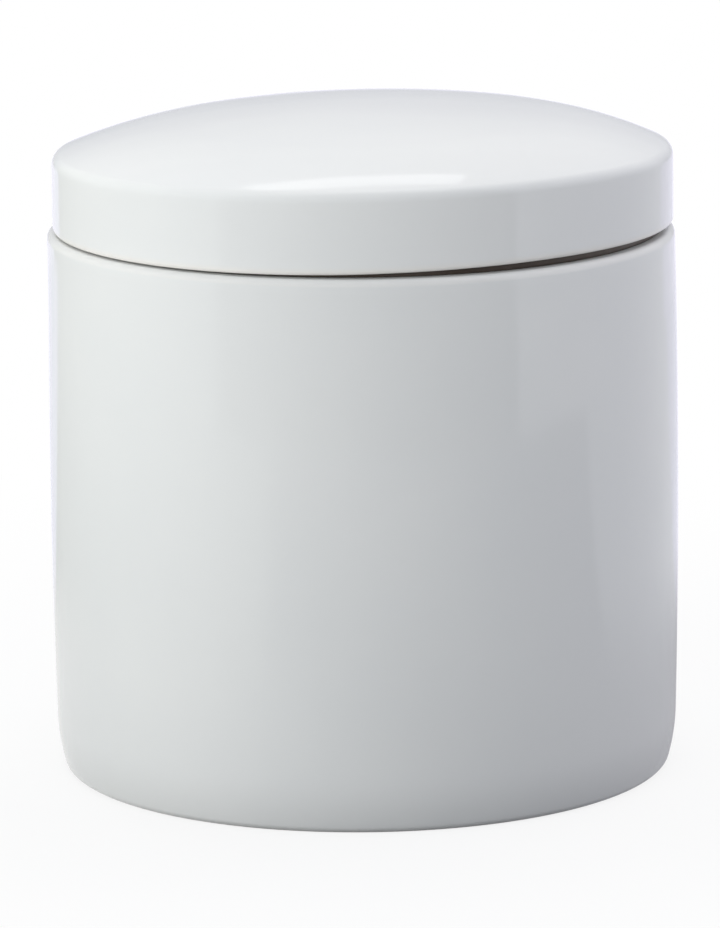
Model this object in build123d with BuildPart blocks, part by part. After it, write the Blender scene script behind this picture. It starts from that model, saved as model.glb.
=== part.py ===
# Lidded canister in glazed porcelain: a barrelled jar, a domed lid and the silicone ring that seats it.
# Each piece is turned about the upright axis, so it is drawn as half a section and revolved.
# The origin is the middle of the foot, on the surface that the jar stands on.
import os
from math import asin, cos, degrees, radians, sin, sqrt

from build123d import *

# Sizes are in millimetres and angles in degrees

# Jar
rim_diameter = 120.0
jar_height = 104.8
wall_swell = 0.65  # how far the wall bulges past the rim, on the radius
belly_height = 53.0  # height at which the wall is widest
wall_thickness = 5.0
rim_outer_radius = 1.5
rim_inner_radius = 0.8
tuck_radius = 36.0  # soft turn that draws the wall in above the foot
tuck_angle = 15.5
foot_edge_radius = 1.8
foot_width = 4.5  # flat ring that the jar stands on
recess_depth = 1.6  # hollow of the underside inside the foot ring
recess_radius = 1.2
floor_thickness = 6.0  # from the foot to the floor inside
floor_radius = 8.0

# Lid
lid_setback = 0.5  # lid's side to the rim's outside, on the radius
lid_side_height = 12.65  # upright part of the side, from the seat to the shoulder
shoulder_radius = 1.8
knee_radius = 88.0  # fuller turn of the crown towards its edge
knee_turn = 13.0
crown_slope = 10.0  # slope at which the flatter middle of the crown meets the knee
lid_edge_radius = 1.1
lid_thickness = 4.5  # even wall of a hollow casting
lid_corner_radius = 2.5  # rounding inside the hollow
hollow_round_share = 0.4  # most of the hollow's wall that one rounding may take
plug_depth = 12.0  # reach of the plug below the seat
plug_edge_radius = 1.0
plug_clearance = 2.0  # plug to the jar's mouth, room for the ring's fins
groove_depth = 1.2
groove_height = 7.0

# Seal ring
flange_thickness = 0.8  # holds the lid this far off the rim
flange_bearing = 1.6  # reach of the flange past the mouth, out over the rim
ring_slack = 0.1  # ring to the groove's floor
fin_count = 2
fin_root = 1.0
fin_tip = 0.5
fin_lift = 0.6  # rise of a fin from its root to its tip
fin_clearance = 0.3  # fin to the jar's mouth

# Barrelled wall: one arc, upright at the belly, through the rim
rim_radius = rim_diameter / 2
mouth_radius = rim_radius - wall_thickness
belly_radius = rim_radius + wall_swell
barrel_radius = ((jar_height - belly_height) ** 2 + wall_swell**2) / (2 * wall_swell)

# The tuck starts at the height where its own arc and the wall lean alike
tuck_sine = sin(radians(tuck_angle))
tuck_drop = tuck_radius * (tuck_sine - belly_height / barrel_radius)
foot_drop = foot_edge_radius * (1 - tuck_sine)
tuck_height = (tuck_drop + foot_drop) / (1 - tuck_radius / barrel_radius)
wall_lean = degrees(asin((belly_height - tuck_height) / barrel_radius))


def wall_radius_at(height):
    """Outside radius of the barrelled wall at a height."""
    return belly_radius - barrel_radius + sqrt(barrel_radius**2 - (height - belly_height) ** 2)


tuck_reach = tuck_radius * (cos(radians(wall_lean)) - cos(radians(tuck_angle)))
foot_edge_reach = foot_edge_radius * cos(radians(tuck_angle))
foot_radius = wall_radius_at(tuck_height) - tuck_reach - foot_edge_reach
recess_edge = foot_radius - foot_width

# Lid and ring take their heights from the rim and their widths from the mouth
seat_height = jar_height + flange_thickness
lid_radius = rim_radius - lid_setback
shoulder_height = seat_height + lid_side_height
plug_radius = mouth_radius - plug_clearance
plug_bottom = seat_height - plug_depth
bore_radius = plug_radius - lid_thickness
groove_radius = plug_radius - groove_depth
groove_bottom = seat_height - groove_height
hollow_radius = lid_radius - lid_thickness
hollow_floor = seat_height + lid_thickness

# The crown's three arcs run on from each other: shoulder, knee and middle
edge_slope = crown_slope + knee_turn
knee_sine, knee_cosine = sin(radians(edge_slope)), cos(radians(edge_slope))
knee_center_radius = lid_radius - shoulder_radius - (knee_radius - shoulder_radius) * knee_sine
knee_center_height = shoulder_height - (knee_radius - shoulder_radius) * knee_cosine
crown_sine, crown_cosine = sin(radians(crown_slope)), cos(radians(crown_slope))
crown_radius = knee_radius + knee_center_radius / crown_sine
lid_top = knee_center_height + crown_radius - (crown_radius - knee_radius) * crown_cosine
crown_edge = (crown_radius * crown_sine, knee_center_height + knee_radius * crown_cosine)

# The ceiling under the crown keeps the wall even
ceiling_knee = knee_radius - lid_thickness
ceiling_crown = crown_radius - lid_thickness
ceiling_edge = (ceiling_crown * crown_sine, knee_center_height + ceiling_knee * crown_cosine)
ceiling_slope = degrees(asin((hollow_radius - knee_center_radius) / ceiling_knee))
hollow_ceiling = knee_center_height + ceiling_knee * cos(radians(ceiling_slope))
hollow_round = min(lid_corner_radius, hollow_round_share * (hollow_ceiling - hollow_floor))


def corner(section, radius, height):
    """The section's corner nearest to a radius and a height."""
    return section.vertices().sort_by_distance((radius, height))[0]


# Jar
with BuildPart() as jar:
    with BuildSketch(Plane.XZ) as jar_section:
        with BuildLine():
            foot_edge = JernArc((foot_radius, 0), (1, 0), foot_edge_radius, 90 - tuck_angle)
            tuck = JernArc(foot_edge @ 1, foot_edge % 1, tuck_radius, tuck_angle - wall_lean)
            wall = ThreePointArc(tuck @ 1, (belly_radius, belly_height), (rim_radius, jar_height))
            Line(wall @ 1, (mouth_radius, jar_height))
            inside = ThreePointArc(
                (mouth_radius, jar_height),
                (belly_radius - wall_thickness, belly_height),
                (wall_radius_at(floor_thickness) - wall_thickness, floor_thickness),
            )
            Polyline(
                inside @ 1,
                (0, floor_thickness),
                (0, recess_depth),
                (recess_edge - recess_depth, recess_depth),
                (recess_edge, 0),
                foot_edge @ 0,
            )
        make_face()
        fillet(corner(jar_section, rim_radius, jar_height), radius=rim_outer_radius)
        fillet(corner(jar_section, mouth_radius, jar_height), radius=rim_inner_radius)
        fillet(corner(jar_section, mouth_radius, floor_thickness), radius=floor_radius)
        fillet(corner(jar_section, recess_edge - recess_depth, recess_depth), radius=recess_radius)
    revolve(axis=Axis.Z)

# Lid
with BuildPart() as lid:
    with BuildSketch(Plane.XZ) as lid_section:
        with BuildLine():
            crown = TangentArc((0, lid_top), crown_edge, tangent=(1, 0))
            knee = JernArc(crown @ 1, crown % 1, knee_radius, -knee_turn)
            shoulder = JernArc(knee @ 1, knee % 1, shoulder_radius, edge_slope - 90)
            ceiling = TangentArc((0, lid_top - lid_thickness), ceiling_edge, tangent=(1, 0))
            ceiling_turn = JernArc(ceiling @ 1, ceiling % 1, ceiling_knee, crown_slope - ceiling_slope)
            Polyline(
                shoulder @ 1,
                (lid_radius, seat_height),
                (groove_radius, seat_height),
                (groove_radius, groove_bottom),
                (plug_radius, groove_bottom),
                (plug_radius, plug_bottom),
                (bore_radius, plug_bottom),
                (bore_radius, hollow_floor),
                (hollow_radius, hollow_floor),
                ceiling_turn @ 1,
            )
            Line(crown @ 0, ceiling @ 0)
        make_face()
        fillet(corner(lid_section, lid_radius, seat_height), radius=lid_edge_radius)
        for plug_edge in (plug_radius, bore_radius):
            fillet(corner(lid_section, plug_edge, plug_bottom), radius=plug_edge_radius)
        for hollow_corner in (
            (bore_radius, hollow_floor),
            (hollow_radius, hollow_floor),
            (hollow_radius, hollow_ceiling),
        ):
            fillet(corner(lid_section, *hollow_corner), radius=hollow_round)
    revolve(axis=Axis.Z)

# Seal ring: a band in the lid's groove, a flange over the rim and fins that reach for the mouth
flange_radius = mouth_radius + flange_bearing
fin_radius = mouth_radius - fin_clearance
fin_spacing = (groove_height - flange_thickness) / (fin_count + 1)
with BuildPart() as seal_ring:
    with BuildSketch(Plane.XZ) as ring_section:
        with BuildLine():
            Polyline(
                (groove_radius + ring_slack, groove_bottom),
                (plug_radius, groove_bottom),
                (plug_radius, jar_height),
                (flange_radius, jar_height),
                (flange_radius, seat_height),
                (groove_radius + ring_slack, seat_height),
                close=True,
            )
        make_face()
        for fin in range(fin_count):
            root_height = jar_height - fin_spacing * (fin + 1)
            tip_height = root_height + fin_lift
            with BuildLine():
                Polyline(
                    (plug_radius, root_height - fin_root / 2),
                    (fin_radius, tip_height - fin_tip / 2),
                    (fin_radius, tip_height + fin_tip / 2),
                    (plug_radius, root_height + fin_root / 2),
                    close=True,
                )
            make_face()
    revolve(axis=Axis.Z)

os.makedirs("parts", exist_ok=True)
jar.part.label = "jar"
lid.part.label = "lid"
seal_ring.part.label = "seal_ring"
export_step(jar.part, "parts/jar.step")
export_step(lid.part, "parts/lid.step")
export_step(seal_ring.part, "parts/seal_ring.step")
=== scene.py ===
import bpy
import numpy as np
from mathutils import Euler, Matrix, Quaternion, Vector


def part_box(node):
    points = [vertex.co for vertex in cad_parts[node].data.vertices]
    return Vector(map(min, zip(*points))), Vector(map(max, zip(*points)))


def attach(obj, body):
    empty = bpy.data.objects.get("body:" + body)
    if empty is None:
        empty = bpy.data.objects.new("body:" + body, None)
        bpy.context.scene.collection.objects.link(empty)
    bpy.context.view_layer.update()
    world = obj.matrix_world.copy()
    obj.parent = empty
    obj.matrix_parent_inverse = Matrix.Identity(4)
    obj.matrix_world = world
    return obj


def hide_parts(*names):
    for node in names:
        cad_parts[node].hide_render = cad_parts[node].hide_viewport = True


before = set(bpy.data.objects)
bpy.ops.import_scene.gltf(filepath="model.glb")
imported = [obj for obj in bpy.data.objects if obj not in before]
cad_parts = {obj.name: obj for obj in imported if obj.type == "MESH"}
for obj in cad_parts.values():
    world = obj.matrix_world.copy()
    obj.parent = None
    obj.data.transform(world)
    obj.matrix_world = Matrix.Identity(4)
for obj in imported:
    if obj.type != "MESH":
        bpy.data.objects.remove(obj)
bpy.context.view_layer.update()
scene = bpy.context.scene
mm = 0.001  # profiles are drawn in millimetres, meshes are in metres
tiny = 1e-6  # what is smaller counts as nothing, and isn't divided by
print("frame loaded:", sorted(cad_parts))


# arc: centre plus radius times cosine and sine of an angle that goes evenly from start to end, in degrees
def arcRun(centre, radius, start, end, count):
    angle = np.radians(np.linspace(start, end, count))
    return np.column_stack([centre[0] + radius * np.cos(angle), centre[1] + radius * np.sin(angle)])


# point at a distance and an angle, in degrees, from a centre
def pointFrom(centre, distance, angle):
    return np.array(centre) + distance * np.array([np.cos(np.radians(angle)), np.sin(np.radians(angle))])


# polyline with rounded corners: each corner is an arc that touches both its sides, with its centre on their
# bisector at radius / sin(half the angle between them). The straight runs between the arcs crowd their
# points towards the ends by a cosine
def roundedRun(corners, radii, arcCount=9, lineCount=7, closed=False):
    corner, radius = np.array(corners, float), np.array(radii, float)[:, None]
    back, ahead = np.roll(corner, 1, 0) - corner, np.roll(corner, -1, 0) - corner
    back, ahead = (way / np.linalg.norm(way, axis=1, keepdims=True) for way in (back, ahead))
    half = np.arccos(np.clip((back * ahead).sum(1, keepdims=True), -1, 1)) / 2
    bisector = back + ahead
    bisector = bisector / np.maximum(np.linalg.norm(bisector, axis=1, keepdims=True), tiny)
    centre = corner + bisector * radius / np.maximum(np.sin(half), tiny)
    reach = radius / np.maximum(np.tan(half), tiny)
    first, last = corner + back * reach - centre, corner + ahead * reach - centre
    start = np.arctan2(first[:, 1], first[:, 0])[:, None]
    turn = np.arctan2(last[:, 1], last[:, 0])[:, None] - start
    turn = (turn + np.pi) % (2 * np.pi) - np.pi
    angle = start + turn * np.linspace(0, 1, arcCount)
    arcs = centre[:, None] + radius[:, None] * np.stack([np.cos(angle), np.sin(angle)], -1)
    share = ((1 - np.cos(np.linspace(0, np.pi, lineCount))) / 2)[None, :, None]
    lines = arcs[:, -1:] * (1 - share) + np.roll(arcs, -1, 0)[:, :1] * share
    points = np.concatenate([arcs, lines], 1).reshape(-1, 2)
    return points if closed else points[:-lineCount]


# one profile from its runs, without the points where one run starts on the end of the last
def joinRuns(*runs):
    points = np.concatenate(runs)
    step = np.linalg.norm(np.diff(points, axis=0), axis=1)
    return points[np.concatenate([[True], step > tiny])]


# how sharply the profile turns outwards, per millimetre: change of its heading over the way travelled, as
# a mean over a few points
def bendOf(profile, meanOver=5):
    along = np.gradient(profile, axis=0)
    heading = np.unwrap(np.arctan2(along[:, 1], along[:, 0]))
    way = np.concatenate([[0], np.cumsum(np.linalg.norm(np.diff(profile, axis=0), axis=1))])
    bend = np.pad(np.gradient(heading, way), meanOver // 2, mode="edge")
    return np.convolve(bend, np.ones(meanOver) / meanOver, mode="valid")


# surface of revolution: x = r cos a, y = r sin a, with the profile down the rows and the angle a along the
# columns; warp moves r and z a little, as firing does. A profile that starts and ends on the axis closes
# there in fans, any other joins its last row to its first. The profile runs with the outside on its right
def turnedPiece(name, profile, around, warp, bareRows=None):
    onAxis = profile[0, 0] < tiny
    rows = profile[1:-1] if onAxis else profile
    angle = np.linspace(0, 2 * np.pi, around, endpoint=False)[None, :]
    radius, height = warp(rows[:, :1], rows[:, 1:], angle)
    points = np.stack([radius * np.cos(angle), radius * np.sin(angle), height], -1).reshape(-1, 3)
    index = np.arange(len(points)).reshape(-1, around)
    here, above = (index[:-1], index[1:]) if onAxis else (index, np.roll(index, -1, 0))
    quads = np.stack([here, np.roll(here, -1, 1), np.roll(above, -1, 1), above], -1).reshape(-1, 4)
    faces = quads.tolist()
    bend = bendOf(profile)
    bend = np.repeat(bend[1:-1] if onAxis else bend, around)
    bare = np.zeros(len(rows), bool) if bareRows is None else bareRows(rows)
    bareFaces = np.repeat(bare[:-1] & bare[1:] if onAxis else bare & np.roll(bare, -1), around)
    if onAxis:
        low, high = np.full(around, len(points)), np.full(around, len(points) + 1)
        fans = np.concatenate([np.stack([low, np.roll(index[0], -1), index[0]], -1),
                               np.stack([index[-1], np.roll(index[-1], -1), high], -1)])
        poleHeight = warp(profile[[0, -1], :1], profile[[0, -1], 1:], angle[:, :1])[1]
        points = np.concatenate([points, poleHeight * [0, 0, 1]])
        faces += fans.tolist()
        bend = np.concatenate([bend, [0, 0]])
        bareFaces = np.concatenate([bareFaces, np.zeros(len(fans), bool)])
    mesh = bpy.data.meshes.new(name)
    mesh.from_pydata((points * mm).tolist(), [], faces)
    mesh.attributes.new("edgeBend", "FLOAT", "POINT").data.foreach_set("value", bend.astype(np.float32))
    mesh.polygons.foreach_set("material_index", bareFaces.astype(np.int32))  # 0 is glazed, 1 is bare
    mesh.shade_smooth()
    piece = bpy.data.objects.new(name, mesh)
    scene.collection.objects.link(piece)
    print("turned", name, len(mesh.vertices), "points,", len(mesh.polygons), "faces")
    return piece


# bell round the piece: e to minus the square of the angle from the middle over the width, in degrees
def bellRound(angle, middle, width):
    away = (np.degrees(angle) - middle + 180) % 360 - 180
    return np.exp(-(away / width) ** 2)


# jar, in millimetres and degrees; its height and its widest radius come from the frame
jarShape = {
    "wallSwell": 0.65, "bellyHeight": 53.0, "wallThickness": 5.0,
    "rimOuterRadius": 1.5, "rimInnerRadius": 0.8,
    "tuckRadius": 36.0, "tuckAngle": 15.5,
    "footEdgeRadius": 1.8, "footWidth": 4.5, "footInnerRadius": 0.5,
    "recessDepth": 1.6, "recessRadius": 1.2, "floorThickness": 6.0, "floorRadius": 8.0,
    "bareHeight": 0.3, "bareShare": 0.8,  # no glaze below this height, past this share of the radius
    "rimFlare": 0.55, "flareDepth": 7.0,  # the rim stands out a little on its -X side
    "rimRise": 0.12, "riseAt": -105.0, "riseWidth": 40.0,  # and bows up a little round this angle
    "ovalLoss": 0.12, "ovalAngle": 35.0,  # the round is drawn in a little across this direction
    "around": 320,
    "points": {"underside": 12, "footEdge": 13, "tuck": 12, "wall": 60, "rim": 15, "rimTop": 9, "mouth": 9,
               "inside": 50, "floorEdge": 17, "floor": 14},
}


# underside and foot, two arcs up to the wall, the barrelled wall, the rim, the same arc again inside, and
# the floor; arcs that run on from each other have their centres in line with the point where they meet
def jarProfile(shape, bellyRadius, height):
    points = shape["points"]
    belly, swell, wall = shape["bellyHeight"], shape["wallSwell"], shape["wallThickness"]
    barrel = ((height - belly) ** 2 + swell ** 2) / (2 * swell)
    outside, inside = (bellyRadius - barrel, belly), (bellyRadius - wall - barrel, belly)
    tuck, tuckAngle, edge = shape["tuckRadius"], shape["tuckAngle"], shape["footEdgeRadius"]
    tuckSine = np.sin(np.radians(tuckAngle))
    tuckHeight = (tuck * (tuckSine - belly / barrel) + edge * (1 - tuckSine)) / (1 - tuck / barrel)
    lean = np.degrees(np.arcsin((belly - tuckHeight) / barrel))
    tuckCentre = pointFrom(outside, barrel - tuck, -lean)
    edgeCentre = pointFrom(tuckCentre, tuck - edge, -tuckAngle)
    footRadius, recess = edgeCentre[0], shape["recessDepth"]
    footInner = footRadius - shape["footWidth"]
    rim, mouth = shape["rimOuterRadius"], shape["rimInnerRadius"]
    floor, floorRound = shape["floorThickness"], shape["floorRadius"]
    rimAngle = np.degrees(np.arcsin((height - rim - belly) / (barrel - rim)))
    mouthAngle = np.degrees(np.arcsin((height - mouth - belly) / (barrel + mouth)))
    floorAngle = np.degrees(np.arcsin((floor + floorRound - belly) / (barrel - floorRound)))
    rimCentre = pointFrom(outside, barrel - rim, rimAngle)
    mouthCentre = pointFrom(inside, barrel + mouth, mouthAngle)
    floorCentre = pointFrom(inside, barrel - floorRound, floorAngle)
    return joinRuns(
        roundedRun([(0, recess), (footInner - recess, recess), (footInner, 0), (footRadius, 0)],
                   [0, shape["recessRadius"], shape["footInnerRadius"], 0], lineCount=points["underside"]),
        arcRun(edgeCentre, edge, -90, -tuckAngle, points["footEdge"]),
        arcRun(tuckCentre, tuck, -tuckAngle, -lean, points["tuck"]),
        arcRun(outside, barrel, -lean, rimAngle, points["wall"]),
        arcRun(rimCentre, rim, rimAngle, 90, points["rim"]),
        roundedRun([(rimCentre[0], height), (mouthCentre[0], height)], [0, 0], lineCount=points["rimTop"]),
        arcRun(mouthCentre, mouth, 90, 180 + mouthAngle, points["mouth"]),
        arcRun(inside, barrel, mouthAngle, floorAngle, points["inside"]),
        arcRun(floorCentre, floorRound, floorAngle, -90, points["floorEdge"]),
        roundedRun([(floorCentre[0], floor), (0, floor)], [0, 0], lineCount=points["floor"]))


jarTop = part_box("jar")[1] / mm


# the wall is drawn in by a cosine of twice the angle; the rim flares by a cosine of the angle and rises by
# a bell, and both die away exponentially below it
def jarWarp(radius, height, angle):
    share = radius / jarTop.x
    oval = jarShape["ovalLoss"] * (1 - np.cos(2 * (angle - np.radians(jarShape["ovalAngle"])))) / 2
    nearRim = np.exp((height - jarTop.z) / jarShape["flareDepth"])
    flare = jarShape["rimFlare"] * nearRim * (1 - np.cos(angle)) / 2
    rise = jarShape["rimRise"] * nearRim * bellRound(angle, jarShape["riseAt"], jarShape["riseWidth"])
    return radius + share * (flare - oval), height + rise


# rows of the profile on the wiped foot
def onFoot(rows):
    return (rows[:, 1] < jarShape["bareHeight"]) & (rows[:, 0] > jarShape["bareShare"] * jarTop.x)


jarPiece = turnedPiece("jarShell", jarProfile(jarShape, jarTop.x, jarTop.z), jarShape["around"],
                       jarWarp, onFoot)
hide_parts("jar")
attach(jarPiece, "jar")

# lid, in millimetres and degrees; its radius and the height of its seat come from the frame
lidShape = {
    "sideHeight": 12.5, "shoulderRadius": 2.45, "kneeRadius": 84.6, "kneeTurn": 14.5, "crownSlope": 8.66,
    "edgeRadius": 0.7, "thickness": 4.5, "hollowRadius": 2.5,
    "plugRadius": 53.0, "plugDepth": 12.0, "plugEdgeRadius": 1.0,
    "grooveDepth": 1.2, "grooveHeight": 7.0, "lipRadius": 0.3,
    "bareHeight": 0.25,  # no glaze on the plug's lower edge up to here
    "seatSettle": 0.39, "crownSettle": 0.36,  # seat and shoulder are higher on the +X side, lower opposite
    "crownLean": 1.5, "crownTip": 0.74,  # the crown is fuller there, and its edge tips up on the -Y side
    "seatLift": 0.66, "crownLift": 0.5,  # lower edge and shoulder bow up
    "liftAt": -54.0, "liftWidth": 40.0,  # round this angle
    "shift": (0.2, 0.6), "drop": 0.17,  # off the middle, towards +X and +Y, and a little low
    "around": 320,
    "points": {"ceiling": 24, "ceilingKnee": 12, "ceilingEdge": 9, "shoulder": 13, "knee": 20, "crown": 32},
}


# ceiling under the crown, the hollow's wall and ledge, plug, groove, seat, side, and three arcs that run on
# from each other: shoulder, knee and the flatter middle of the crown, whose centre is on the axis
def lidProfile(shape, lidRadius, seat):
    points = shape["points"]
    slope, edgeSlope = shape["crownSlope"], shape["crownSlope"] + shape["kneeTurn"]
    thick, shoulder, knee = shape["thickness"], shape["shoulderRadius"], shape["kneeRadius"]
    shoulderCentre = np.array([lidRadius - shoulder, seat + shape["sideHeight"]])
    kneeCentre = pointFrom(shoulderCentre, shoulder - knee, 90 - edgeSlope)
    crown = knee + kneeCentre[0] / np.sin(np.radians(slope))
    crownCentre = pointFrom(kneeCentre, knee - crown, 90 - slope)
    hollow, hollowRound = lidRadius - thick, shape["hollowRadius"]
    ceilingReach = knee - thick - hollowRound
    ceilingAngle = np.degrees(np.arccos((hollow - hollowRound - kneeCentre[0]) / ceilingReach))
    ceilingCentre = pointFrom(kneeCentre, ceilingReach, ceilingAngle)
    plug, plugEdge, lip = shape["plugRadius"], shape["plugEdgeRadius"], shape["lipRadius"]
    bore, groove = plug - thick, plug - shape["grooveDepth"]
    ledge, plugBottom, grooveBottom = seat + thick, seat - shape["plugDepth"], seat - shape["grooveHeight"]
    return joinRuns(
        arcRun(crownCentre, crown - thick, 90, 90 - slope, points["ceiling"]),
        arcRun(kneeCentre, knee - thick, 90 - slope, ceilingAngle, points["ceilingKnee"]),
        arcRun(ceilingCentre, hollowRound, ceilingAngle, 0, points["ceilingEdge"]),
        roundedRun([(hollow, ceilingCentre[1]), (hollow, ledge), (bore, ledge), (bore, plugBottom),
                    (plug, plugBottom), (plug, grooveBottom), (groove, grooveBottom), (groove, seat),
                    (lidRadius, seat), (lidRadius, shoulderCentre[1])],
                   [0, hollowRound, hollowRound, plugEdge, plugEdge, lip, lip, lip, shape["edgeRadius"], 0]),
        arcRun(shoulderCentre, shoulder, 0, 90 - edgeSlope, points["shoulder"]),
        arcRun(kneeCentre, knee, 90 - edgeSlope, 90 - slope, points["knee"]),
        arcRun(crownCentre, crown, 90 - slope, 90, points["crown"]))


lidBottom, lidTop = (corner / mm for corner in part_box("lid"))
ringBottom, ringTop = (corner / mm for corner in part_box("seal_ring"))


# the lid rises on one side and drops on the other by the cosine of the angle, tips by its sine and lifts by
# a bell, all times the square s of its share of the radius. Each goes from its value at the seat, nothing
# for the tip, to its value at the shoulder, where the lean times 1 - s adds to the rise. The shift moves r
# by the cosine and the sine, and the drop lowers the whole lid
def lidWarp(radius, height, angle):
    share = (radius / lidTop.x) ** 2
    level = np.clip((height - ringTop.z) / lidShape["sideHeight"], 0, 1)
    crownRise = lidShape["crownSettle"] + lidShape["crownLean"] * (1 - share)
    rise = (lidShape["seatSettle"] * (1 - level) + crownRise * level) * np.cos(angle)
    tip = lidShape["crownTip"] * level * np.sin(angle)
    lift = lidShape["seatLift"] * (1 - level) + lidShape["crownLift"] * level
    lift = lift * bellRound(angle, lidShape["liftAt"], lidShape["liftWidth"])
    shift = lidShape["shift"][0] * np.cos(angle) + lidShape["shift"][1] * np.sin(angle)
    return radius + share * shift, height - lidShape["drop"] + share * (rise - tip + lift)


# rows of the profile on the wiped edge of the plug
def onPlugEdge(rows):
    return rows[:, 1] < lidBottom.z + lidShape["bareHeight"]


lidPiece = turnedPiece("lidShell", lidProfile(lidShape, lidTop.x, ringTop.z), lidShape["around"],
                       lidWarp, onPlugEdge)
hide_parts("lid")
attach(lidPiece, "lid")

# seal ring, in millimetres; its heights and its flange's radius come from the frame
ringShape = {
    "finCount": 2, "finRoot": 1.0, "finTip": 0.5, "finLift": 0.6, "finClearance": 0.3,
    "flangeThickness": 0.8, "slack": 0.1,
    "rootRadius": 0.2, "tipRadius": 0.2, "flangeRadius": 0.3,
    "squeezeReach": 1.5,  # the flange passes from the lid to the rim over this much of its width
    "slotShadeSpread": 1.0,  # and it reaches this far further out than the frame's flange, so that its dark face fills the slot under the lid as painted shade
    "mouthGap": 0.1,  # fins that the mouth bends stay this far from it
    "margin": 0.01,  # what is lower than the rim by more than this lies in the mouth
    "around": 256,
    "cornerPoints": 5, "runPoints": 5,
}


# closed loop of rounded corners: band, then each fin as four corners that step up the band, then the flange
def ringProfile(shape, inner, band, finReach, flange, low, high):
    rim = high - shape["flangeThickness"]
    count, half, tip, lift = shape["finCount"], shape["finRoot"] / 2, shape["finTip"] / 2, shape["finLift"]
    roots = low + (rim - low) / (count + 1) * np.arange(1, count + 1)[:, None]
    finHeights = roots + np.array([-half, lift - tip, lift + tip, half])
    finRadii = np.broadcast_to([band, finReach, finReach, band], finHeights.shape)
    fins = np.stack([finRadii, finHeights], -1).reshape(-1, 2)
    corners = np.concatenate([[(inner, low), (band, low)], fins,
                              [(band, rim), (flange, rim), (flange, high), (inner, high)]])
    root, point, edge = shape["rootRadius"], shape["tipRadius"], shape["flangeRadius"]
    radii = np.concatenate([[root, root], np.tile([root, point, point, root], count),
                            [edge, edge, edge, root]])
    loop = roundedRun(corners, radii, shape["cornerPoints"], shape["runPoints"], closed=True)
    return joinRuns(loop)[:-1]


plugRadius = lidShape["plugRadius"]
mouthRadius = jarTop.x - jarShape["wallSwell"] - jarShape["wallThickness"]
rimHeight = ringTop.z - ringShape["flangeThickness"]


# the ring moves with the lid, but its flange is squeezed on the rim: out from the plug, the lid's move at
# the top of the flange turns linearly into the rim's at its underside. In the mouth, the radius has a limit
def ringWarp(radius, height, angle):
    lidRadius, lidHeight = lidWarp(radius, height, angle)
    inMouth = height < rimHeight - ringShape["margin"]
    bentRadius = np.minimum(lidRadius, mouthRadius - ringShape["mouthGap"])
    onRim = np.where(inMouth, 0, np.clip((radius - plugRadius) / ringShape["squeezeReach"], 0, 1))
    squeeze = np.clip((height - rimHeight) / ringShape["flangeThickness"], 0, 1)
    rimMove = jarWarp(radius, rimHeight, angle)[1] - rimHeight
    lidMove = lidHeight - height
    flangeMove = lidMove * squeeze + rimMove * (1 - squeeze)
    return np.where(inMouth, bentRadius, lidRadius), height + lidMove * (1 - onRim) + flangeMove * onRim


ringPiece = turnedPiece(
    "sealRing",
    ringProfile(ringShape, plugRadius - lidShape["grooveDepth"] + ringShape["slack"], plugRadius,
                mouthRadius - ringShape["finClearance"], ringTop.x + ringShape["slotShadeSpread"],
                ringBottom.z, ringTop.z),
    ringShape["around"], ringWarp)
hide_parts("seal_ring")
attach(ringPiece, "lid")

white, unlit = (1.0, 1.0, 1.0), (0.0, 0.0, 0.0)
mixSockets = {"factor": 0, "first": 6, "second": 7, "result": 2}  # where a colour mix keeps its sockets


# new material, its tree and its Principled shader
def newMaterial(name):
    material = bpy.data.materials.new(name)
    material.use_nodes = True
    return material, material.node_tree, material.node_tree.nodes["Principled BSDF"]


# new shader group of plain values: inputs with what they start at, and outputs
def newGroup(name, inputs, outputs):
    group = bpy.data.node_groups.new(name, "ShaderNodeTree")
    for label, value in inputs.items():
        socket = group.interface.new_socket(label, in_out="INPUT", socket_type="NodeSocketFloat")
        socket.default_value = value
    for label in outputs:
        group.interface.new_socket(label, in_out="OUTPUT", socket_type="NodeSocketFloat")
    return group, group.nodes.new("NodeGroupInput"), group.nodes.new("NodeGroupOutput")


# a group placed in a tree with values of its own
def useGroup(tree, group, values):
    node = tree.nodes.new("ShaderNodeGroup")
    node.node_tree = group
    for label, value in values.items():
        node.inputs[label].default_value = value
    return node


# links a socket to another one, or sets it to a value; a colour gets full alpha
def feed(tree, socket, value):
    if isinstance(value, bpy.types.NodeSocket):
        tree.links.new(value, socket)
    elif socket.type == "RGBA":
        socket.default_value = (*value, 1)
    else:
        socket.default_value = value


# one operation on two values
def mathNode(tree, operation, first, second):
    node = tree.nodes.new("ShaderNodeMath")
    node.operation = operation
    feed(tree, node.inputs[0], first)
    feed(tree, node.inputs[1], second)
    return node.outputs[0]


# one operation on a vector, and on a second one where it takes two
def vectorNode(tree, operation, first, second=None):
    node = tree.nodes.new("ShaderNodeVectorMath")
    node.operation = operation
    feed(tree, node.inputs[0], first)
    if second is not None:
        feed(tree, node.inputs[1], second)
    return node.outputs["Value" if operation in ("LENGTH", "DOT_PRODUCT") else "Vector"]


# carries a value from low..high to toLow..toHigh and holds it at both ends; smooth eases the share of the
# way by three times its square less twice its cube
def rampNode(tree, value, low, high, toLow=0.0, toHigh=1.0, smooth=True):
    node = tree.nodes.new("ShaderNodeMapRange")
    node.interpolation_type = "SMOOTHSTEP" if smooth else "LINEAR"
    feed(tree, node.inputs["Value"], value)
    for label, number in (("From Min", low), ("From Max", high), ("To Min", toLow), ("To Max", toHigh)):
        feed(tree, node.inputs[label], number)
    return node.outputs["Result"]


# first colour times 1 - factor, plus second colour times factor
def mixColour(tree, factor, first, second):
    node = tree.nodes.new("ShaderNodeMix")
    node.data_type = "RGBA"
    feed(tree, node.inputs[mixSockets["factor"]], factor)
    feed(tree, node.inputs[mixSockets["first"]], first)
    feed(tree, node.inputs[mixSockets["second"]], second)
    return node.outputs[mixSockets["result"]]


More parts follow.
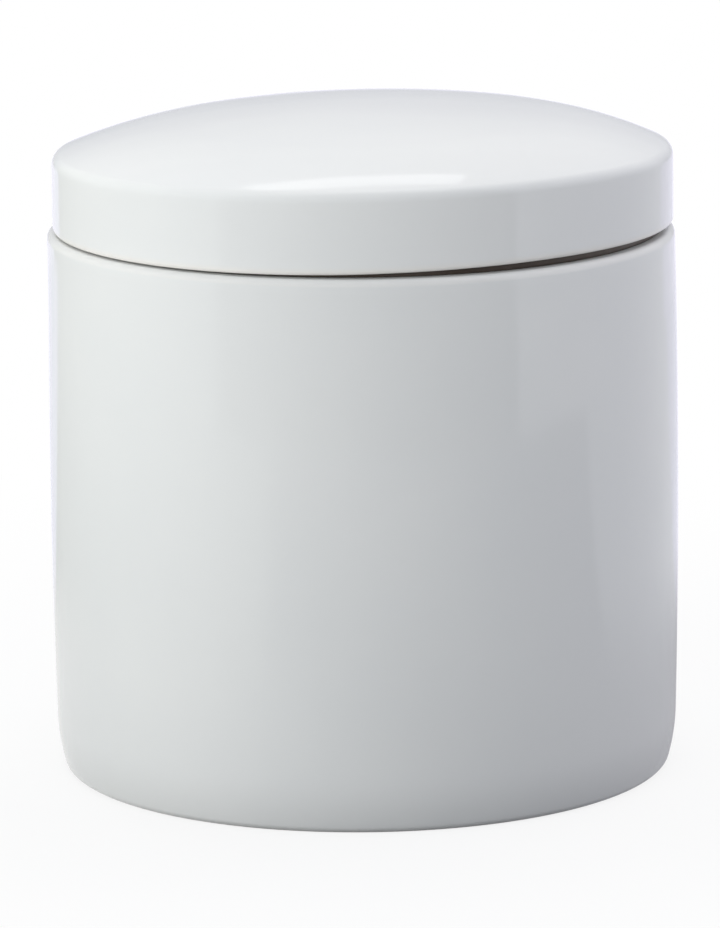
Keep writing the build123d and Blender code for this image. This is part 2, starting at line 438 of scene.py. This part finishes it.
# noise from 0 to 1: so many lumps to the metre, and so many finer layers on them
def noiseNode(tree, place, scale, detail):
    node = tree.nodes.new("ShaderNodeTexNoise")
    feed(tree, node.inputs["Vector"], place)
    feed(tree, node.inputs["Scale"], scale)
    feed(tree, node.inputs["Detail"], detail)
    return node.outputs["Fac"]


# tilts the shader's normal by the slope of a height times a depth in metres
def bumpNode(tree, height, depth, shader):
    node = tree.nodes.new("ShaderNodeBump")
    feed(tree, node.inputs["Strength"], 1.0)
    feed(tree, node.inputs["Distance"], depth)
    feed(tree, node.inputs["Height"], height)
    feed(tree, shader.inputs["Normal"], node.outputs["Normal"])


# cloud: soft patches of noise on Object coordinates, with the middle of its range stretched to 0..1
cloudLook = {"low": 0.3, "high": 0.7}
cloud, cloudIn, cloudOut = newGroup("cloudMask", {"Scale": 30.0, "Detail": 2.0}, ["Mask"])
cloudPlace = cloud.nodes.new("ShaderNodeTexCoord").outputs["Object"]
cloudNoise = noiseNode(cloud, cloudPlace, cloudIn.outputs["Scale"], cloudIn.outputs["Detail"])
feed(cloud, cloudOut.inputs["Mask"], rampNode(cloud, cloudNoise, cloudLook["low"], cloudLook["high"]))

# relief: a broad swell and a fine grain added up as heights, each with its own share
reliefLook = {"swellDetail": 1.0, "grainDetail": 2.0}
relief, reliefIn, reliefOut = newGroup(
    "surfaceRelief",
    {"Swell Scale": 40.0, "Swell Share": 1.0, "Grain Scale": 900.0, "Grain Share": 0.1}, ["Height"])
reliefPlace = relief.nodes.new("ShaderNodeTexCoord").outputs["Object"]
swell = noiseNode(relief, reliefPlace, reliefIn.outputs["Swell Scale"], reliefLook["swellDetail"])
grain = noiseNode(relief, reliefPlace, reliefIn.outputs["Grain Scale"], reliefLook["grainDetail"])
swell = mathNode(relief, "MULTIPLY", swell, reliefIn.outputs["Swell Share"])
grain = mathNode(relief, "MULTIPLY", grain, reliefIn.outputs["Grain Share"])
feed(relief, reliefOut.inputs["Height"], mathNode(relief, "ADD", swell, grain))
print("made groups:", cloud.name, relief.name)

# white glaze: cool white, creamier where it thins over edges, bluer where it pools; bends per millimetre
glazeLook = {
    "body": (0.85, 0.855, 0.845), "patch": (0.87, 0.872, 0.858), "patches": {"Scale": 26.0, "Detail": 3.0},
    "thin": (0.88, 0.83, 0.76), "thinBend": (0.45, 0.95), "thinShare": 0.5,
    "pool": (0.78, 0.83, 0.84), "poolBend": (-0.9, -0.1), "poolShare": 0.7,
    "roughLow": 0.04, "roughHigh": 0.08, "gloss": {"Scale": 70.0, "Detail": 2.0}, "ior": 1.5,
    "relief": {"Swell Scale": 38.0, "Swell Share": 1.0, "Grain Scale": 420.0, "Grain Share": 0.04},
    "bumpDepth": 0.00006,
}
glaze, glazeTree, glazeShader = newMaterial("whiteGlaze")
bend = glazeTree.nodes.new("ShaderNodeAttribute")
bend.attribute_name = "edgeBend"
patches = useGroup(glazeTree, cloud, glazeLook["patches"])
colour = mixColour(glazeTree, patches.outputs["Mask"], glazeLook["body"], glazeLook["patch"])
thin = rampNode(glazeTree, bend.outputs["Fac"], *glazeLook["thinBend"], 0.0, glazeLook["thinShare"])
colour = mixColour(glazeTree, thin, colour, glazeLook["thin"])
pool = rampNode(glazeTree, bend.outputs["Fac"], *glazeLook["poolBend"], glazeLook["poolShare"], 0.0)
colour = mixColour(glazeTree, pool, colour, glazeLook["pool"])
feed(glazeTree, glazeShader.inputs["Base Color"], colour)
gloss = useGroup(glazeTree, cloud, glazeLook["gloss"])
rough = rampNode(glazeTree, gloss.outputs["Mask"], 0.0, 1.0,
                 glazeLook["roughLow"], glazeLook["roughHigh"], smooth=False)
feed(glazeTree, glazeShader.inputs["Roughness"], rough)
glazeShader.inputs["IOR"].default_value = glazeLook["ior"]
glazeRelief = useGroup(glazeTree, relief, glazeLook["relief"])
bumpNode(glazeTree, glazeRelief.outputs["Height"], glazeLook["bumpDepth"], glazeShader)

# bare clay: matte biscuit where the glaze is wiped off
clayLook = {
    "pale": (0.80, 0.77, 0.71), "dark": (0.66, 0.62, 0.56), "patches": {"Scale": 160.0, "Detail": 4.0},
    "roughness": 0.85,
    "relief": {"Swell Scale": 300.0, "Swell Share": 0.5, "Grain Scale": 2200.0, "Grain Share": 1.0},
    "bumpDepth": 0.0001,
}
clay, clayTree, clayShader = newMaterial("bareClay")
clayPatches = useGroup(clayTree, cloud, clayLook["patches"])
colour = mixColour(clayTree, clayPatches.outputs["Mask"], clayLook["pale"], clayLook["dark"])
feed(clayTree, clayShader.inputs["Base Color"], colour)
clayShader.inputs["Roughness"].default_value = clayLook["roughness"]
clayRelief = useGroup(clayTree, relief, clayLook["relief"])
bumpNode(clayTree, clayRelief.outputs["Height"], clayLook["bumpDepth"], clayShader)

# silicone: smoke-brown rubber with a satin skin and a little haze; so dark that its face in the slot under
# the lid also stands in for the shade there, as painted shade
siliconeLook = {
    "deep": (0.055, 0.039, 0.028), "haze": (0.085, 0.065, 0.05), "patches": {"Scale": 90.0, "Detail": 3.0},
    "roughLow": 0.38, "roughHigh": 0.55,
    "relief": {"Swell Scale": 120.0, "Swell Share": 1.0, "Grain Scale": 1500.0, "Grain Share": 0.5},
    "bumpDepth": 0.00004,
}
silicone, siliconeTree, siliconeShader = newMaterial("sealSilicone")
haze = useGroup(siliconeTree, cloud, siliconeLook["patches"])
colour = mixColour(siliconeTree, haze.outputs["Mask"], siliconeLook["deep"], siliconeLook["haze"])
feed(siliconeTree, siliconeShader.inputs["Base Color"], colour)
rough = rampNode(siliconeTree, haze.outputs["Mask"], 0.0, 1.0,
                 siliconeLook["roughLow"], siliconeLook["roughHigh"], smooth=False)
feed(siliconeTree, siliconeShader.inputs["Roughness"], rough)
siliconeRelief = useGroup(siliconeTree, relief, siliconeLook["relief"])
bumpNode(siliconeTree, siliconeRelief.outputs["Height"], siliconeLook["bumpDepth"], siliconeShader)

for piece in (jarPiece, lidPiece):
    piece.data.materials.append(glaze)
    piece.data.materials.append(clay)
ringPiece.data.materials.append(silicone)
print("finished", glaze.name, clay.name, silicone.name)

# what shows where: the camera and clear pieces see white, gloss sees these colours round the canister. A
# sector has its middle, turned to the right of the camera's side, and its half width, in degrees
roomLook = {
    "left": (0.68, 0.7, 0.68), "right": (0.88, 0.89, 0.93),
    "front": (0.2, 0.2, 0.2), "frontSector": (2.0, 56.0),
    "backdropSector": (175.6, 31.2), "soft": 1.0,  # a sector's edge is this soft either way
    "backdropLow": (0.93, 0.93, 1.06), "backdropFar": (0.99, 0.98, 1.12),
    "backdropHigh": (0.6, 0.61, 0.66), "backdropTop": (0.8, 0.81, 0.83),
    "farRise": (-0.24, -0.16), "highRise": (-0.14, -0.02), "topRise": (0.1, 0.5),  # z of the way
    "ambient": (0.15, 0.18, 0.22),  # faint light from above
}


# level direction, turned to the right of the camera's side by an angle in degrees
def levelWay(turn):
    return np.sin(np.radians(turn)), -np.cos(np.radians(turn)), 0


# 1 inside a sector and 0 outside, by the cosine of the angle from its middle to a way's level part
def inSector(tree, way, middle, half):
    level = vectorNode(tree, "NORMALIZE", vectorNode(tree, "MULTIPLY", way, (1, 1, 0)))
    edge = np.cos(np.radians([half + roomLook["soft"], half - roomLook["soft"]]))
    return rampNode(tree, vectorNode(tree, "DOT_PRODUCT", level, levelWay(middle)), *edge)


# colours all round: left and right on either side of x = 0, then front and backdrop in their sectors
def mirroredRound(tree, way, backdrop, backdropSector, front, frontSector):
    axes = tree.nodes.new("ShaderNodeSeparateXYZ")
    tree.links.new(way, axes.inputs[0])
    onRight = mathNode(tree, "GREATER_THAN", axes.outputs["X"], 0.0)
    colour = mixColour(tree, onRight, roomLook["left"], roomLook["right"])
    colour = mixColour(tree, inSector(tree, way, *frontSector), colour, front)
    return mixColour(tree, inSector(tree, way, *backdropSector), colour, backdrop)


# table top, in metres: a round plate, part lit and part white in itself where it is looked at, so that it
# keeps the shadow near the foot and fades into the white surroundings; close by it throws little light back
tableLook = {
    "radius": 0.5, "middle": (-0.02, 0.06, -0.0001), "around": 96,
    "seen": (0.9, 0.9, 0.9), "ownWhite": 0.85, "fade": (0.08, 0.28),
    "bounceNear": (0.2, 0.2, 0.2), "bounceFar": (0.4, 0.4, 0.4),
    "front": (0.38, 0.38, 0.4), "frontSector": (26.0, 57.0), "backdropSector": (178.9, 38.1),
    "nearLitLeft": (0.95, 0.95, 0.95), "nearShadedRight": (0.45, 0.45, 0.48),  # what gloss sees of it near the foot: a lit tone on the left and a painted shadow on the right
    "nearReach": (0.1, 0.24), "nearTurn": 0.06,
}
tableAngle = np.linspace(0, 2 * np.pi, tableLook["around"], endpoint=False)
tableEdge = np.column_stack([np.cos(tableAngle), np.sin(tableAngle), 0 * tableAngle])
tablePoints = tableLook["radius"] * tableEdge + tableLook["middle"]
tableMesh = bpy.data.meshes.new("tableTop")
tableMesh.from_pydata(tablePoints.tolist(), [], [list(range(tableLook["around"]))])
floor = bpy.data.objects.new("tableTop", tableMesh)
scene.collection.objects.link(floor)

tableWhite, tableTree, tableShader = newMaterial("tableWhite")
tableTree.nodes.remove(tableShader)
tablePlace = tableTree.nodes.new("ShaderNodeTexCoord").outputs["Object"]
tableReach = vectorNode(tableTree, "LENGTH", tablePlace)
tableRays = tableTree.nodes.new("ShaderNodeLightPath").outputs
lookedAt = mathNode(tableTree, "MAXIMUM", tableRays["Is Camera Ray"], tableRays["Is Transmission Ray"])
farOff = rampNode(tableTree, tableReach, *tableLook["fade"])
bounce = mixColour(tableTree, farOff, tableLook["bounceNear"], tableLook["bounceFar"])
lit = tableTree.nodes.new("ShaderNodeBsdfDiffuse")
feed(tableTree, lit.inputs["Color"], mixColour(tableTree, lookedAt, bounce, tableLook["seen"]))

# gloss sees the room's colours on the table too, but near the foot a painted reflection of the table, lit on
# the left and in painted shadow on the right
across = vectorNode(tableTree, "DOT_PRODUCT", tablePlace, (1, 0, 0))
across = rampNode(tableTree, across, -tableLook["nearTurn"], tableLook["nearTurn"])
near = mixColour(tableTree, across, tableLook["nearLitLeft"], tableLook["nearShadedRight"])
mirrored = mirroredRound(tableTree, tablePlace, roomLook["backdropLow"], tableLook["backdropSector"],
                         tableLook["front"], tableLook["frontSector"])
mirrored = mixColour(tableTree, rampNode(tableTree, tableReach, *tableLook["nearReach"]), near, mirrored)
ownWhite = tableTree.nodes.new("ShaderNodeEmission")
feed(tableTree, ownWhite.inputs["Color"], mixColour(tableTree, tableRays["Is Glossy Ray"], white, mirrored))
whiteShare = rampNode(tableTree, farOff, 0.0, 1.0, tableLook["ownWhite"], 1.0, smooth=False)
whiteShare = mathNode(tableTree, "MULTIPLY", lookedAt, whiteShare)
whiteShare = mathNode(tableTree, "MAXIMUM", whiteShare, tableRays["Is Glossy Ray"])
tableMix = tableTree.nodes.new("ShaderNodeMixShader")
for socket, source in zip(tableMix.inputs, (whiteShare, lit.outputs[0], ownWhite.outputs[0])):
    tableTree.links.new(source, socket)
tableTree.links.new(tableMix.outputs[0], tableTree.nodes["Material Output"].inputs["Surface"])
tableMesh.materials.append(tableWhite)
print("laid", floor.name, "with", tableWhite.name)

# room: the same for what lies beyond the table, with a backdrop that changes upwards
world = bpy.data.worlds.new("studioRoom")
world.use_nodes = True
roomTree = world.node_tree
roomWay = roomTree.nodes.new("ShaderNodeTexCoord").outputs["Generated"]
roomAxes = roomTree.nodes.new("ShaderNodeSeparateXYZ")
roomTree.links.new(roomWay, roomAxes.inputs[0])
far, high, top = (rampNode(roomTree, roomAxes.outputs["Z"], *roomLook[rise])
                  for rise in ("farRise", "highRise", "topRise"))
backdrop = mixColour(roomTree, far, roomLook["backdropLow"], roomLook["backdropFar"])
backdrop = mixColour(roomTree, high, backdrop, roomLook["backdropHigh"])
backdrop = mixColour(roomTree, top, backdrop, roomLook["backdropTop"])
mirrored = mirroredRound(roomTree, roomWay, backdrop, roomLook["backdropSector"],
                         roomLook["front"], roomLook["frontSector"])
roomRays = roomTree.nodes.new("ShaderNodeLightPath").outputs
roomSeen = mathNode(roomTree, "MAXIMUM", roomRays["Is Camera Ray"], roomRays["Is Transmission Ray"])
roomColour = mixColour(roomTree, high, unlit, roomLook["ambient"])
roomColour = mixColour(roomTree, roomRays["Is Glossy Ray"], roomColour, mirrored)
roomColour = mixColour(roomTree, roomSeen, roomColour, white)
feed(roomTree, roomTree.nodes["Background"].inputs["Color"], roomColour)
scene.world = world
print("room set:", world.name)

# softboxes: turned to the right of the camera in degrees, then distance from the axis, height of the
# middle, height that it is aimed at, and size across and up in metres, and power in watts; only one shows
# in the gloss
softboxes = {
    "keyBox": {"turn": -68.0, "distance": 0.6, "height": 0.1, "aimHeight": 0.1, "size": (1.25, 0.6),
               "power": 4.37, "mirrored": False, "colour": (0.987, 1.0, 0.966)},
    "rightBox": {"turn": 96.0, "distance": 0.6, "height": 0.3, "aimHeight": 0.12, "size": (0.7, 0.6),
                 "power": 2.0, "mirrored": False, "colour": (0.974, 0.949, 1.0)},
    "frontFill": {"turn": -14.0, "distance": 0.6, "height": 0.45, "aimHeight": 0.1, "size": (0.6, 0.5),
                  "power": 1.67, "mirrored": False, "colour": (1.0, 0.991, 0.991)},
    "topFill": {"turn": 180.0, "distance": 0.3, "height": 0.7, "aimHeight": 0.1, "size": (0.8, 0.5),
                "power": 3.2, "mirrored": False, "colour": (1.0, 0.97, 0.932)},
    "backBox": {"turn": -177.5, "distance": 0.463, "height": 0.7035, "aimHeight": 0.12,
                "size": (0.26, 0.076), "power": 0.062, "mirrored": True, "colour": (1.0, 1.0, 1.0)},
}
for boxName, box in softboxes.items():
    light = bpy.data.lights.new(boxName, "AREA")
    light.shape = "RECTANGLE"
    light.size, light.size_y = box["size"]
    light.energy = box["power"]
    light.color = box["colour"]
    lamp = bpy.data.objects.new(boxName, light)
    lamp.location = Vector(levelWay(box["turn"])) * box["distance"] + Vector((0, 0, box["height"]))
    away = lamp.location - Vector((0, 0, box["aimHeight"]))
    lamp.rotation_euler = away.to_track_quat("Z", "Y").to_euler()
    lamp.visible_camera = False
    lamp.visible_glossy = box["mirrored"]
    scene.collection.objects.link(lamp)
print("lit by", ", ".join(softboxes))

# camera: fitted to the jar's outline in a picture of 720 by 928; metres, degrees, lens in millimetres
view = {"distance": 1.2, "height": 0.30976, "pitch": 11.843, "roll": -0.584, "yaw": 0.04, "lens": 246.0,
        "clip": (0.05, 50.0)}
cameraData = bpy.data.cameras.new("camera")
cameraData.lens = view["lens"]
cameraData.clip_start, cameraData.clip_end = view["clip"]
camera = bpy.data.objects.new("camera", cameraData)
scene.collection.objects.link(camera)
camera.location = (0, -view["distance"], view["height"])
aim = Euler((np.radians(90 - view["pitch"]), 0, np.radians(view["yaw"]))).to_quaternion()
camera.rotation_euler = (aim @ Quaternion((0, 0, 1), np.radians(view["roll"]))).to_euler()
scene.camera = camera
scene.view_settings.view_transform = "Standard"
print("camera stands", view["distance"], "m in front of the axis")
